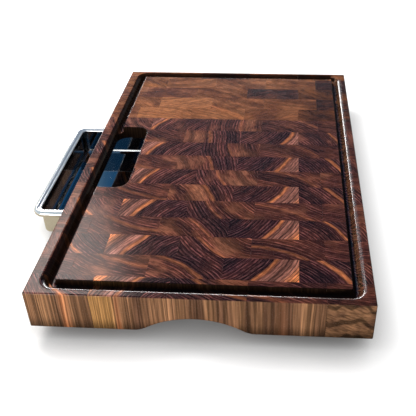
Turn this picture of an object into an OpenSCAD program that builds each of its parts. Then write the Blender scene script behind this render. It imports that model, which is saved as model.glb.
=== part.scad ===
// End-grain butcher block board on rubber feet, with a juice groove, a drop-through
// window and a steel pan that slides out of the left side on two screwed runners.
// Millimetres. The origin is the centre of the work surface: +X right, +Y back, +Z up.

/* [Board] */
// Width of the board, left to right
board_w = 280; // [260:1:320]
// Length of the board, front to back
board_l = 434; // [400:1:500]
// Thickness of the wood
board_t = 37; // [34:0.5:42]

/* [Strips and blocks] */
// Depth of the front strip
front_strip_d = 24; // [20:0.2:30]
// Depth of the back strip
back_strip_d = 20.8; // [18:0.2:28]
// Left end block in the even strips
even_left_block = 31.4; // [26:0.2:40]
// Right end block in the even strips
even_right_block = 60.2; // [52:0.2:66]
// Left end block in the odd strips
odd_left_block = 53.2; // [44:0.2:62]
// Glue line between two blocks of a strip
glue_line = 0.1; // [0.05:0.05:0.3]

/* [Juice groove] */
// Width of the groove at the work surface
groove_w = 9.6; // [7:0.2:11]
// Depth of the round bottom of the groove
groove_depth = 6.8; // [5.6:0.2:9]
// Diameter of the round bottom, which lies beside the work surface
groove_bottom_d = 6.4; // [4:0.2:6.8]
// How far the round bottom swells out past the sloping flank
groove_swell = 0.1; // [0.05:0.05:0.3]
// Radius left on the work surface inside each corner of the groove
groove_corner = 2; // [0.4:0.1:4]
// Left edge of the board to the middle of the groove
groove_inset_left = 16.5; // [12:0.1:18]
// Right edge of the board to the middle of the groove
groove_inset_right = 12.6; // [9:0.1:20]
// Front edge of the board to the middle of the groove
groove_inset_front = 12.7; // [9:0.1:20]
// Back edge of the board to the middle of the groove
groove_inset_back = 10; // [8:0.1:20]

/* [Drop-through window] */
// Length of the window, front to back
window_l = 124; // [90:1:135]
// Width of the window, left to right
window_w = 36.5; // [28:0.5:44]
// Wood left between the board's left face and the window
window_bridge = 14.5; // [12:0.5:17]
// Corner radius of the window
window_r = 12.5; // [6:0.5:13.5]

/* [Sliding pan] */
// Length of the pan over its rim, front to back
pan_l = 176; // [160:1:190]
// Width of the pan over its rim, left to right
pan_w = 108; // [100:1:116]
// Height of the pan from its bottom to the top of its rim
pan_h = 30; // [26:0.5:34]
// Thickness of the steel sheet
pan_sheet = 0.8; // [0.6:0.1:1.2]
// Width of the rim, from the pan's body to the outside of the bead
pan_rim_w = 7; // [6.8:0.1:9]
// Diameter of the rolled bead round the rim
pan_bead_d = 6.5; // [5:0.1:6.6]
// Corner radius of the pan's body
pan_corner_r = 5.5; // [5:0.5:14]
// Bend radius between the pan's walls and its bottom
pan_bend_r = 4; // [3:0.5:4.5]
// How far the pan stands out of the board's left face
pan_pulled = 40; // [0:0.5:60]

/* [Pocket and runners] */
// Wood left above the pocket
pocket_roof = 14; // [12:0.5:15]
// Gap between the pan's rim and the pocket's roof
roof_gap = 1; // [0.5:0.1:2]
// Gap between the pan's rim and the pocket's walls
side_gap = 1; // [0.5:0.1:2]
// Corner radius of the pocket
pocket_r = 6; // [3:0.5:10]
// Running gap between the rim's bead and the runners
running_gap = 0.3; // [0.2:0.05:0.6]
// Gap between the pan's body and the inner faces of the runners
body_gap = 1.2; // [0.6:0.1:2]
// Width of a runner
runner_w = 22; // [18:0.5:28]
// Length of a runner past the end of the pocket
runner_overrun = 12; // [8:0.5:16]
// Runner's end set back from the board's left face
runner_setback = 1.5; // [0.5:0.1:4]
// Side and end clearance of a runner in its rebate
runner_fit = 0.2; // [0.1:0.05:0.5]

/* [Fasteners] */
// Shank diameter of the runner screws
runner_screw_d = 3.8; // [3:0.1:4.5]
// Head diameter of the runner screws
runner_head_d = 7.6; // [6.6:0.1:9]
// Depth of a runner screw in the board
runner_screw_bite = 10; // [7:0.5:12]
// Screws in each runner
runner_screws_n = 3; // [2:1:4]
// End of a runner to its first screw
runner_screw_inset = 18; // [12:0.5:24]
// Shank diameter of the foot screws
foot_screw_d = 4.2; // [3.5:0.1:5]
// Head diameter of the foot screws
foot_head_d = 8; // [7:0.1:9]
// Head height of the foot screws
foot_head_h = 2.8; // [2:0.1:3.2]
// Depth of a foot screw in the board
foot_screw_bite = 18; // [12:0.5:22]
// Radial clearance round every screw
screw_gap = 0.1; // [0.05:0.05:0.2]

/* [Feet] */
// Gap between the pan's bottom and the surface that the board stands on
counter_gap = 6; // [4:0.5:12]
// Diameter of a foot where it meets the board
foot_top_d = 26; // [22:0.5:32]
// Diameter of a foot where it stands
foot_base_d = 23; // [19:0.5:29]
// Rubber between the board and a foot's washer
foot_web = 4; // [3:0.1:5]
// Diameter of the hollow that takes the washer and the screw head
foot_hollow_d = 12; // [11:0.1:14]
// Outer diameter of the washer
washer_d = 11.6; // [10:0.1:13.6]
// Thickness of the washer
washer_t = 1.2; // [0.8:0.1:1.6]
// Side edge of the board to the middle of a foot
foot_inset_x = 25; // [18:0.5:40]
// End edge of the board to the middle of a foot
foot_inset_y = 32; // [22:0.5:50]

/* [Finger grips] */
// Length of the arch at the bottom edge
grip_l = 104; // [80:1:130]
// Height of the arch
grip_h = 14.5; // [10:0.5:18]
// Depth of the grip under the board
grip_d = 20; // [16:0.5:24]
// Radius that eases each foot of the arch
grip_foot_r = 25; // [15:1:35]
// Depth below the bottom edge where the arch's feet would run out flat
grip_sink = 0.3; // [0.2:0.1:1]
// Middle of the arch from the middle of the board
grip_x = -4; // [-20:1:20]

/* [Hidden] */
$fn = 64;

// Cutters reach this far past the faces that they open
over = 1;

front_walnut = "#5a3a2e";
back_walnut = "#8a5a38";
runner_walnut = "#6b4632";
steel = "#d5d8dc";
black_rubber = "#1d1d1f";

// Strips are counted from the front, blocks from the left
strip_n = 16;
block_n = 5;
back_panel_first = 11;
strip_pitch = (board_l - front_strip_d - back_strip_d) / (strip_n - 2);
block_w = (board_w - even_left_block - even_right_block) / (block_n - 2);

left_x = -board_w / 2;
right_x = board_w / 2;
front_y = -board_l / 2;
back_y = board_l / 2;

groove_turn = groove_w / 2 + groove_corner;
groove_bottom_r = groove_bottom_d / 2;
groove_bottom_x = groove_bottom_r - groove_w / 2;
groove_bottom_z = groove_bottom_r - groove_depth;
flank_run = groove_w / 2 - groove_bottom_x;
flank_reach = norm([flank_run, groove_bottom_z]);
flank_offset = groove_bottom_r - groove_swell;
flank_slope = atan2(-groove_bottom_z, flank_run) + asin(flank_offset / flank_reach);
groove_left = left_x + groove_inset_left;
groove_right = right_x - groove_inset_right;
groove_front = front_y + groove_inset_front;
groove_back = back_y - groove_inset_back;

pan_left = left_x - pan_pulled;
pan_mid_x = pan_left + pan_w / 2;
pan_top = -pocket_roof - roof_gap;
pan_bottom = pan_top - pan_h;
pan_rim_r = pan_corner_r + pan_rim_w;

pocket_end = left_x + pan_w + side_gap;
pocket_l = pan_l + 2 * side_gap;

runner_top = pan_top - pan_bead_d - running_gap;
runner_t = board_t + runner_top;
runner_inner = pan_l / 2 - pan_rim_w + body_gap;
runner_left = left_x + runner_setback;
runner_right = pocket_end + runner_overrun;
rebate_right = runner_right + runner_fit;
runner_screw_y = (pocket_l / 2 + runner_inner + runner_w) / 2;
runner_screw_step = (runner_right - runner_left - 2 * runner_screw_inset) / (runner_screws_n - 1);
runner_head_h = (runner_head_d - runner_screw_d) / 2;
runner_screw_tip = runner_screw_d;

standing_z = pan_bottom - counter_gap;
foot_h = -board_t - standing_z;
foot_x = board_w / 2 - foot_inset_x;
foot_y = board_l / 2 - foot_inset_y;
foot_screw_tip = foot_screw_d;

arch_h = grip_h + grip_sink;
grip_crown_r = (pow(grip_l / 2, 2) + pow(arch_h, 2)) / (2 * arch_h) - grip_foot_r;
grip_turn_share = grip_crown_r / (grip_crown_r + grip_foot_r);
grip_turn_x = grip_l / 2 * grip_turn_share;
grip_turn_z = arch_h - grip_crown_r + (grip_foot_r + grip_crown_r - arch_h) * grip_turn_share;

function strip_front(i) = i == 0 ? front_y : front_y + front_strip_d + (i - 1) * strip_pitch;
function strip_back(i) = i == strip_n - 1 ? back_y : strip_front(i + 1);
function first_seam(i) = left_x + (i % 2 == 1 ? even_left_block : odd_left_block);
function block_left(i, k) = k == 0 ? left_x : first_seam(i) + (k - 1) * block_w + glue_line / 2;
function block_right(i, k) = k == block_n - 1 ? right_x : first_seam(i) + k * block_w - glue_line / 2;

// Rectangle with round corners, centred
module round_rect(size_x, size_y, r) {
    square([size_x - 2 * r, size_y], center = true);
    square([size_x, size_y - 2 * r], center = true);
    for (sx = [-1, 1], sy = [-1, 1]) {
        translate([sx * (size_x / 2 - r), sy * (size_y / 2 - r)])
            circle(r);
    }
}

// Groove's section: an upright wall on the inner side, a round bottom and a sloping outer flank
module groove_section() {
    translate([groove_bottom_x, groove_bottom_z])
        circle(groove_bottom_r);
    polygon([
        [-groove_w / 2, over],
        [-groove_w / 2, groove_bottom_z],
        [groove_bottom_x, groove_bottom_z],
        [
            groove_bottom_x + flank_offset * sin(flank_slope),
            groove_bottom_z - flank_offset * cos(flank_slope),
        ],
        [groove_w / 2 + over / tan(flank_slope), over],
    ]);
}

// Straight run of the groove along X, turned over at the front of the board
module groove_run_x(y, turned) {
    run = groove_right - groove_left - 2 * groove_turn;
    translate([groove_left + groove_turn, y, 0])
        rotate([90, 0, 90])
            linear_extrude(run)
                mirror([turned ? 1 : 0, 0])
                    groove_section();
}

// Straight run of the groove along Y, turned over at the left of the board
module groove_run_y(x, turned) {
    run = groove_back - groove_front - 2 * groove_turn;
    translate([x, groove_back - groove_turn, 0])
        rotate([90, 0, 0])
            linear_extrude(run)
                mirror([turned ? 1 : 0, 0])
                    groove_section();
}

// Quarter turn of the groove, starting at the given heading
module groove_bend(x, y, heading) {
    translate([x, y, 0])
        rotate([0, 0, heading])
            rotate_extrude(angle = 90)
                translate([groove_turn, 0])
                    groove_section();
}

module juice_groove() {
    groove_run_x(groove_front, true);
    groove_run_x(groove_back, false);
    groove_run_y(groove_left, true);
    groove_run_y(groove_right, false);
    groove_bend(groove_right - groove_turn, groove_back - groove_turn, 0);
    groove_bend(groove_left + groove_turn, groove_back - groove_turn, 90);
    groove_bend(groove_left + groove_turn, groove_front + groove_turn, 180);
    groove_bend(groove_right - groove_turn, groove_front + groove_turn, 270);
}

module drop_window() {
    translate([left_x + window_bridge + window_w / 2, 0, -pocket_roof - over])
        linear_extrude(pocket_roof + 2 * over)
            round_rect(window_w, window_l, window_r);
}

// Pocket for the pan, open to the left face and to the underside
module pan_pocket() {
    reach = pocket_end - left_x + pocket_r + over;
    translate([pocket_end - reach / 2, 0, -board_t - over])
        linear_extrude(board_t - pocket_roof + over)
            round_rect(reach, pocket_l, pocket_r);
}

// Rebate for a runner, let into the underside beside the pocket
module runner_rebate(side) {
    width = runner_w + runner_fit;
    y_low = side > 0 ? runner_inner : -runner_inner - width;
    translate([left_x - over, y_low, -board_t - over])
        cube([rebate_right - left_x + over, width, runner_t + over]);
}

// Arch of a finger grip, drawn upwards from where its feet run out flat
module grip_arch() {
    intersection() {
        translate([0, arch_h - grip_crown_r])
            circle(grip_crown_r);
        translate([-grip_turn_x, -over])
            square([2 * grip_turn_x, arch_h + 2 * over]);
    }
    for (side = [0, 1]) {
        mirror([side, 0])
            difference() {
                translate([grip_turn_x, -over])
                    square([grip_l / 2 - grip_turn_x, grip_turn_z + over]);
                translate([grip_l / 2, grip_foot_r])
                    circle(grip_foot_r);
            }
    }
}

module finger_grip(y_back) {
    translate([grip_x, y_back, -board_t - grip_sink])
        rotate([90, 0, 0])
            linear_extrude(grip_d + over)
                grip_arch();
}

// Places one child at every runner screw, at the underside
module at_runner_screws() {
    for (side = [-1, 1], k = [0 : runner_screws_n - 1]) {
        x = runner_left + runner_screw_inset + k * runner_screw_step;
        translate([x, side * runner_screw_y, -board_t])
            children();
    }
}

// Places one child at every foot, at the underside
module at_feet() {
    for (sx = [-1, 1], sy = [-1, 1]) {
        translate([sx * foot_x, sy * foot_y, -board_t])
            children();
    }
}

// Everything that is routed or drilled in the glued board
module board_cuts() {
    juice_groove();
    drop_window();
    pan_pocket();
    runner_rebate(-1);
    runner_rebate(1);
    finger_grip(front_y + grip_d);
    finger_grip(back_y + over);
    at_runner_screws()
        cylinder(h = runner_t + runner_screw_bite + screw_gap, d = runner_screw_d + 2 * screw_gap);
    at_feet()
        translate([0, 0, -over])
            cylinder(h = foot_screw_bite + screw_gap + over, d = foot_screw_d + 2 * screw_gap);
}

// One strip of end-grain blocks, glued side by side
module strip(i) {
    color(i < back_panel_first ? front_walnut : back_walnut)
        difference() {
            for (k = [0 : block_n - 1]) {
                translate([block_left(i, k), strip_front(i), -board_t])
                    cube([
                        block_right(i, k) - block_left(i, k),
                        strip_back(i) - strip_front(i),
                        board_t,
                    ]);
            }
            board_cuts();
        }
}

// Section of the pan from the centre of a corner outwards: bottom, bend, wall and rolled rim
module pan_section() {
    square([pan_corner_r - pan_bend_r, pan_sheet]);
    intersection() {
        translate([pan_corner_r - pan_bend_r, pan_bend_r])
            difference() {
                circle(pan_bend_r);
                circle(pan_bend_r - pan_sheet);
            }
        translate([pan_corner_r - pan_bend_r, 0])
            square([pan_bend_r, pan_bend_r]);
    }
    translate([pan_corner_r - pan_sheet, pan_bend_r])
        square([pan_sheet, pan_h - pan_bend_r]);
    translate([pan_corner_r - pan_sheet, pan_h - pan_sheet])
        square([pan_sheet + pan_rim_w - pan_bead_d / 2, pan_sheet]);
    translate([pan_rim_r - pan_bead_d / 2, pan_h - pan_bead_d / 2])
        difference() {
            circle(d = pan_bead_d);
            circle(d = pan_bead_d - 2 * pan_sheet);
        }
}

// Side of the pan: the section drawn out along a straight edge
module pan_side(length) {
    translate([0, length / 2, 0])
        rotate([90, 0, 0])
            linear_extrude(length)
                pan_section();
}

module food_pan() {
    core_x = pan_w - 2 * pan_rim_r;
    core_y = pan_l - 2 * pan_rim_r;
    color(steel)
        translate([pan_mid_x, 0, pan_bottom]) {
            translate([-core_x / 2, -core_y / 2, 0])
                cube([core_x, core_y, pan_sheet]);
            for (turn = [0, 180]) {
                rotate([0, 0, turn])
                    translate([core_x / 2, 0, 0])
                        pan_side(core_y);
                rotate([0, 0, turn + 90])
                    translate([core_y / 2, 0, 0])
                        pan_side(core_x);
                rotate([0, 0, turn])
                    translate([core_x / 2, core_y / 2, 0])
                        rotate_extrude(angle = 90)
                            pan_section();
                rotate([0, 0, turn])
                    translate([-core_x / 2, core_y / 2, 0])
                        rotate([0, 0, 90])
                            rotate_extrude(angle = 90)
                                pan_section();
            }
        }
}

// Plank that carries one side of the pan's rim, with countersunk screw holes
module runner(side) {
    y_low = side > 0 ? runner_inner : -runner_inner - runner_w;
    color(runner_walnut)
        difference() {
            translate([runner_left, y_low, -board_t])
                cube([runner_right - runner_left, runner_w, runner_t]);
            at_runner_screws() {
                translate([0, 0, -over])
                    cylinder(h = runner_t + 2 * over, d = runner_screw_d + 2 * screw_gap);
                cylinder(h = runner_head_h, d1 = runner_head_d, d2 = runner_screw_d);
            }
        }
}

module front_runner() {
    runner(-1);
}

module rear_runner() {
    runner(1);
}

module runner_screws() {
    length = runner_t + runner_screw_bite;
    color(steel)
        at_runner_screws()
            rotate_extrude()
                polygon([
                    [0, 0],
                    [runner_head_d / 2, 0],
                    [runner_screw_d / 2, runner_head_h],
                    [runner_screw_d / 2, length - runner_screw_tip],
                    [0, length],
                ]);
}

// Moulded foot with a hollow that hides the washer and the screw head
module foot(side_x, side_y) {
    color(black_rubber)
        translate([side_x * foot_x, side_y * foot_y, standing_z])
            difference() {
                cylinder(h = foot_h, d1 = foot_base_d, d2 = foot_top_d);
                translate([0, 0, -over])
                    cylinder(h = foot_h - foot_web + over, d = foot_hollow_d);
                cylinder(h = foot_h + over, d = foot_screw_d + 2 * screw_gap);
            }
}

module front_left_foot() {
    foot(-1, -1);
}

module front_right_foot() {
    foot(1, -1);
}

module back_left_foot() {
    foot(-1, 1);
}

module back_right_foot() {
    foot(1, 1);
}

module foot_washers() {
    color(steel)
        at_feet()
            translate([0, 0, -foot_web - washer_t])
                difference() {
                    cylinder(h = washer_t, d = washer_d);
                    translate([0, 0, -over])
                        cylinder(h = washer_t + 2 * over, d = foot_screw_d + 2 * screw_gap);
                }
}

module foot_screws() {
    shank = foot_web + washer_t + foot_screw_bite;
    color(steel)
        at_feet()
            translate([0, 0, -foot_web - washer_t - foot_head_h])
                rotate_extrude()
                    polygon([
                        [0, 0],
                        [foot_head_d / 2, 0],
                        [foot_head_d / 2, foot_head_h],
                        [foot_screw_d / 2, foot_head_h],
                        [foot_screw_d / 2, foot_head_h + shank - foot_screw_tip],
                        [0, foot_head_h + shank],
                    ]);
}

strip(0);  // strip_01
strip(1);  // strip_02
strip(2);  // strip_03
strip(3);  // strip_04
strip(4);  // strip_05
strip(5);  // strip_06
strip(6);  // strip_07
strip(7);  // strip_08
strip(8);  // strip_09
strip(9);  // strip_10
strip(10);  // strip_11
strip(11);  // strip_12
strip(12);  // strip_13
strip(13);  // strip_14
strip(14);  // strip_15
strip(15);  // strip_16
food_pan();
front_runner();
rear_runner();
runner_screws();
front_left_foot();
front_right_foot();
back_left_foot();
back_right_foot();
foot_washers();
foot_screws();
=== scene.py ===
"""Oiled end-grain walnut board with a bright steel pan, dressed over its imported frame."""
import math
import random
from collections import namedtuple

import bmesh
import bpy
from bpy.props import FloatProperty, FloatVectorProperty, IntProperty, PointerProperty
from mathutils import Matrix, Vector


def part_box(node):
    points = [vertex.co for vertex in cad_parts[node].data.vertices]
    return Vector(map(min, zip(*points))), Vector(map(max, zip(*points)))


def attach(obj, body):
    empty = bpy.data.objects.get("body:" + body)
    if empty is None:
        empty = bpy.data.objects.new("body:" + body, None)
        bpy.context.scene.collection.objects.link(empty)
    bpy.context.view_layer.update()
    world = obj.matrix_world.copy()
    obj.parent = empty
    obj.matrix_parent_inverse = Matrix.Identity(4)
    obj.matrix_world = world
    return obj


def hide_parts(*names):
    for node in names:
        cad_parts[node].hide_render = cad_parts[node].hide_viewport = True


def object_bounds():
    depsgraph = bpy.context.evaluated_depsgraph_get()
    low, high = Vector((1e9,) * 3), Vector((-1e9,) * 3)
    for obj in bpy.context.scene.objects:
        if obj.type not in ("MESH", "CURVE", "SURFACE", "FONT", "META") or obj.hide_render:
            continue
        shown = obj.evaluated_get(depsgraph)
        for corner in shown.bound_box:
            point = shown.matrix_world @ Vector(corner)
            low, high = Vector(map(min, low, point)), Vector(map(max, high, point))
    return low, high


bl_info = {
    "name": "Butcher Block Dresser",
    "version": (1, 0, 0),
    "blender": (4, 5, 0),
    "location": "3D View > Sidebar > Board",
    "description": "Dresses an end-grain cutting board with its wood, steel pan, feet and screws",
    "category": "Object",
}

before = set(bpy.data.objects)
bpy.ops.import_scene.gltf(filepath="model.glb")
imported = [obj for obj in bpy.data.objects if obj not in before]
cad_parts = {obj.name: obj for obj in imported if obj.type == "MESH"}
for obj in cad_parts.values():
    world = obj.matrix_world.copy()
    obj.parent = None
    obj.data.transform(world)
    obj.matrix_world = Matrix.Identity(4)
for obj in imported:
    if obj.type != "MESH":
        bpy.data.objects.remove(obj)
CAD_LOW, CAD_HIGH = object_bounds()

MM = 0.001

# The board's own places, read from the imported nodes
STRIPS = sorted(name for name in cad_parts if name.startswith("strip_"))
BOARD_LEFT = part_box(STRIPS[0])[0].x
BOARD_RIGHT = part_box(STRIPS[0])[1].x
BOARD_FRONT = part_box(STRIPS[0])[0].y
BOARD_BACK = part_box(STRIPS[-1])[1].y
BOARD_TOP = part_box(STRIPS[0])[1].z
BOARD_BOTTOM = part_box(STRIPS[0])[0].z
STRIP_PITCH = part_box(STRIPS[1])[1].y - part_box(STRIPS[1])[0].y

# Joining and shading of the meshes
MERGE_GAP = 0.002 * MM
FLAT_ANGLE = math.radians(0.4)
CREASE_ANGLE = math.radians(28)
ON_PLANE = 0.02 * MM
SEAM_REACH = 0.2 * MM

# Depth range of the walls with painted shade: under the eased shoulder, down to the pocket's roof
ROUTED_TOP = -0.12 * MM
ROUTED_LOW = -13.9 * MM
SHOULDER_TILT = 0.62
# How far in from the board's outline the rail outside the groove can reach
RAIL_REACH = 15 * MM
# How far in from the right edge the right groove's outer flank reaches
RIGHT_FLANK = 13 * MM

# Growth of one plank of the glued panel. The heart is the middle of the rings, in millimetres
# from the middle of the plank's end; the drifts are per strip. Depth runs from pale to dark,
# warmth from grey to orange and contrast from faint to strong rings. Streak is how strong the
# orange ring is, and sap how far the wood outside it turns tan, or below zero how far the wood
# inside it turns soft brown.
Plank = namedtuple(
    "Plank",
    "heart_u heart_v drift_u drift_v pitch streak_r streak_drift depth warmth contrast streak sap",
)
FRONT_PLANKS = (
    Plank(-10, -130, 0, 2, 2.6, 400, 0, 0.48, 0.45, 0.6, 0.0, 0.0),
    Plank(40, 105, 1, -3, 3.6, 102, 0.6, 0.50, 0.48, 0.65, 0.3, 0.0),
    Plank(-50, -80, -5, 8, 3.2, 91, 0.2, 0.62, 0.32, 1.0, 0.4, -0.9),
    Plank(-75, 55, 0, -1, 3.0, 96, 1.2, 0.66, 0.28, 1.0, 1.0, 1.0),
    Plank(-70, -62, -1, 2, 3.0, 93, 0.6, 0.56, 0.30, 1.0, 0.9, 0.1),
)
BACK_PLANKS = (
    Plank(30, -170, 0, 6, 2.1, 400, 0, 0.48, 0.95, 0.28, 0.0, 0.0),
    Plank(-40, -150, 0, -9, 2.2, 152, -6, 0.37, 1.0, 0.28, 0.3, 0.0),
    Plank(-70, -120, 6, 8, 2.3, 150, 2, 0.39, 1.0, 0.28, 0.5, 0.0),
    Plank(60, -140, -9, 6, 2.1, 400, 0, 0.33, 0.95, 0.3, 0.0, 0.0),
    Plank(50, 90, 6, 5, 2.2, 400, 0, 0.47, 1.15, 0.26, 0.0, 0.0),
)
BACK_PANEL_FIRST = 11
# Painted light and shade: blocks turn paler to the left and darker to the right
# How much darker the blocks get from the middle of the board to its right edge, front and back panel
PAINTED_SHADE_RIGHTWARD = (0.06, 0.2)
# Painted shade: how much darker the strips get from the middle of the board to its front edge
PAINTED_SHADE_FRONTWARD = 0.16
# Blocks that came out darker or paler than their plank, by strip and block from the front left
BLOCK_DEPTH = {
    (11, 1): -0.15,
    (11, 2): -0.1,
    (12, 0): 0.2,
    (12, 1): -0.15,
    (12, 3): -0.15,
    (13, 0): 0.2,
    (13, 1): 0.3,
    (13, 3): 0.36,
    (13, 4): -0.1,
    (14, 1): -0.1,
    (14, 4): 0.28,
    (15, 2): 0.2,
}
# Random spread of the blocks' depth, front and back panel, and of their warmth
DEPTH_SPREAD = (0.09, 0.13)
WARMTH_SPREAD = 0.06
# How much warmth a darker block loses, and the faintest share of its plank's streak
DARK_COOLING = 0.6
LEAST_STREAK = 0.65
# Blocks with curly figure
CURLY_BLOCKS = {(0, 4): 1.0, (12, 2): 0.6, (15, 0): 0.5}
BLOCK_SEED = 41
GROWTH_LAYERS = ("heart", "growth", "shade", "sap")

# Waver of the rings: noise scale per metre, reach either way and, for the quick one, its detail
SLOW_WAVER = (26.0, 3.4 * MM)
QUICK_WAVER = (170.0, 0.38 * MM, 3.0)
# How little the wood changes along its upright grain: the figure, and the fibres on the sides
FIGURE_ALONG = 0.22
FIBRE_ALONG = 0.04
# How far the rings of a curly block lean, per unit of height
CURL_LEAN = 0.6
# Most years by which one block's rings are set off from another's
SEED_YEARS = 60.0
# The bright ring: half its width, and how far it strays with the seasons
STREAK_HALF = 1.6 * MM
STREAK_STRAY = 3.0 * MM
# How far outside the bright ring the soft core fades, the sapwood starts and the sapwood turns orange
CORE_FADE = (-8 * MM, 4 * MM)
SAP_FADE = (0.0, 6 * MM)
FAR_SAP_FADE = (14 * MM, 26 * MM)
# The soft core is paler and warmer than its block, with calmer rings
CORE_PALER = 0.24
CORE_WARMER = 0.22
CORE_CALM = 0.75
# Depths between which ring lines turn from dark on pale wood to pale on dark wood
LINE_TURN = (0.36, 0.56)
# Height between the contour lines on a curly block's upright faces
CONTOUR_PITCH = 16 * MM
# Painted shade: height over the board's bottom up to which the upright faces are darkened
PAINTED_SHADE_HEIGHT = 14 * MM
# Painted shade: near-black colour that the groove and window walls are darkened to
PAINTED_SHADE_BLACK = (0.004, 0.0025, 0.002, 1.0)
OIL_IOR = 1.46

# Long grain of the runners: pitch of its lines, their waver, and the radius on the long arrises
RUNNER_LINE = 3.2 * MM
RUNNER_WAVER = (30.0, 6.0 * MM)
RUNNER_EASE = 0.5 * MM

# Painted shade on the pan, which also sets its metal and roughness: none on its rim, most on its inner walls
ON_RIM, OUTER_WALL, PAN_FLOOR, INNER_WALL = 0.0, 0.4, 0.6, 1.0
CORNER_STEPS = 10
LEAST_CORNER = 0.5 * MM
# Rings on the flat of a screw head, as shares of its radius
HEAD_RINGS = (0.2, 0.4, 0.55)

WHITE = (1.0, 1.0, 1.0, 1.0)
FLOOR_REACH = 6.0
# How much of the floor's white far from the board shows in what shines
FAR_GLOW = 0.4
# How sharply the floor's soft shade falls off
SHADE_POWER = 2.0
SENSOR_WIDTH = 36.0
CLIP_START = 0.02
# The sky in what shines: upward part of the direction, and the tint there
SKY_BANDS = (
    (0.00, "haze_tint"),
    (0.06, "skyline_tint"),
    (0.20, "glow_tint"),
    (0.35, "sky_tint"),
    (0.50, "blue_tint"),
    (0.76, "blue_tint"),
    (1.00, "zenith_tint"),
)
# Leftward part of the direction over which the sky pales
LEFT_SKY = (-0.25, -0.33)
# Lamps, with the setting that holds their power. A lamp that doesn't shine is left out of reflections.
Lamp = namedtuple("Lamp", "name power at size target spread tint shines")
# What they are aimed at, and the full angle that an open lamp and one with a grid let out
MIDDLE = (0.0, 0.0, 0.0)
FRONT_LEFT = (-90 * MM, -330 * MM, 0.0)
OPEN = math.pi
GRID = math.radians(38)
LAMPS = (
    Lamp("key_lamp", "key_power", (-0.48, 0.34, 0.75), (0.45, 0.45), MIDDLE, OPEN, (1, 0.97, 0.93), False),
    Lamp(
        "sheen_lamp", "sheen_power", (-0.5, 0.47, 0.68), (0.42, 0.42), FRONT_LEFT, GRID, (1, 0.9, 0.84), True
    ),
    Lamp("fill_lamp", "fill_power", (-0.55, -0.9, 0.1), (0.6, 0.4), MIDDLE, OPEN, (1, 0.98, 0.96), True),
    Lamp("rim_lamp", "rim_power", (-0.62, 2.35, 0.3), (1.75, 0.16), MIDDLE, OPEN, (1, 1, 1), True),
)


class WalnutFinish(bpy.types.PropertyGroup):
    """Colours and sheen of the oiled walnut."""

    heart_pale: FloatVectorProperty(
        name="Pale heartwood",
        description="End grain of the palest blocks",
        subtype="COLOR",
        default=(0.270, 0.124, 0.084),
    )
    heart_dark: FloatVectorProperty(
        name="Dark heartwood",
        description="End grain of the darkest blocks",
        subtype="COLOR",
        default=(0.020, 0.0055, 0.0103),
    )
    heart_mid: FloatVectorProperty(
        name="Mid heartwood",
        description="End grain of the middling blocks",
        subtype="COLOR",
        default=(0.088, 0.0255, 0.0235),
    )
    heart_warm: FloatVectorProperty(
        name="Warm heartwood",
        description="End grain of the orange blocks",
        subtype="COLOR",
        default=(0.190, 0.061, 0.005),
    )
    streak: FloatVectorProperty(
        name="Orange streak",
        description="Bright ring where the heartwood ends",
        subtype="COLOR",
        default=(0.660, 0.215, 0.078),
    )
    ring_pale: FloatVectorProperty(
        name="Ring lines",
        description="Thin pale lines of the rings",
        subtype="COLOR",
        default=(0.180, 0.084, 0.086),
    )
    sap_tan: FloatVectorProperty(
        name="Sapwood",
        description="Tan wood outside the orange streak",
        subtype="COLOR",
        default=(0.240, 0.098, 0.072),
    )
    side_pale: FloatVectorProperty(
        name="Pale long grain",
        description="Light bands on the upright faces",
        subtype="COLOR",
        default=(0.375, 0.186, 0.092),
    )
    side_brown: FloatVectorProperty(
        name="Brown long grain",
        description="Brown bands on the upright faces",
        subtype="COLOR",
        default=(0.152, 0.072, 0.042),
    )
    side_gold: FloatVectorProperty(
        name="Golden long grain",
        description="Sapwood on the upright faces",
        subtype="COLOR",
        default=(0.500, 0.255, 0.085),
    )
    ring_dark: FloatProperty(
        name="Dark between rings",
        description="How far the wood between strong ring lines darkens",
        subtype="FACTOR",
        min=0.0,
        max=1.0,
        default=0.9,
    )
    ring_light: FloatProperty(
        name="Light rings",
        description="How far strong ring lines lighten",
        min=0.0,
        max=6.0,
        default=2.7,
    )
    gloss: FloatProperty(
        name="Gloss",
        description="Specular level of the oil",
        subtype="FACTOR",
        min=0.0,
        max=1.0,
        default=0.20,
    )
    # Painted shade: how far the groove and window walls are darkened toward black
    painted_groove_shade: FloatProperty(
        name="Routed shade",
        description="How much darker the oil-soaked groove and window walls are",
        subtype="FACTOR",
        min=0.0,
        max=1.0,
        default=0.92,
    )
    roughness: FloatProperty(
        name="Roughness",
        description="Roughness of the oiled surface",
        subtype="FACTOR",
        min=0.0,
        max=1.0,
        default=0.19,
    )
    edge_ease: FloatProperty(
        name="Edge easing",
        description="Radius sanded on the board's outer arrises",
        unit="LENGTH",
        default=1.2 * MM,
    )
    plateau_ease: FloatProperty(
        name="Work surface easing",
        description="Radius sanded on the work surface where it meets the groove and the window",
        unit="LENGTH",
        default=0.7 * MM,
    )
    shoulder_ease: FloatProperty(
        name="Shoulder easing",
        description="Radius sanded on the groove's outer shoulder",
        unit="LENGTH",
        default=2.8 * MM,
    )


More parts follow.
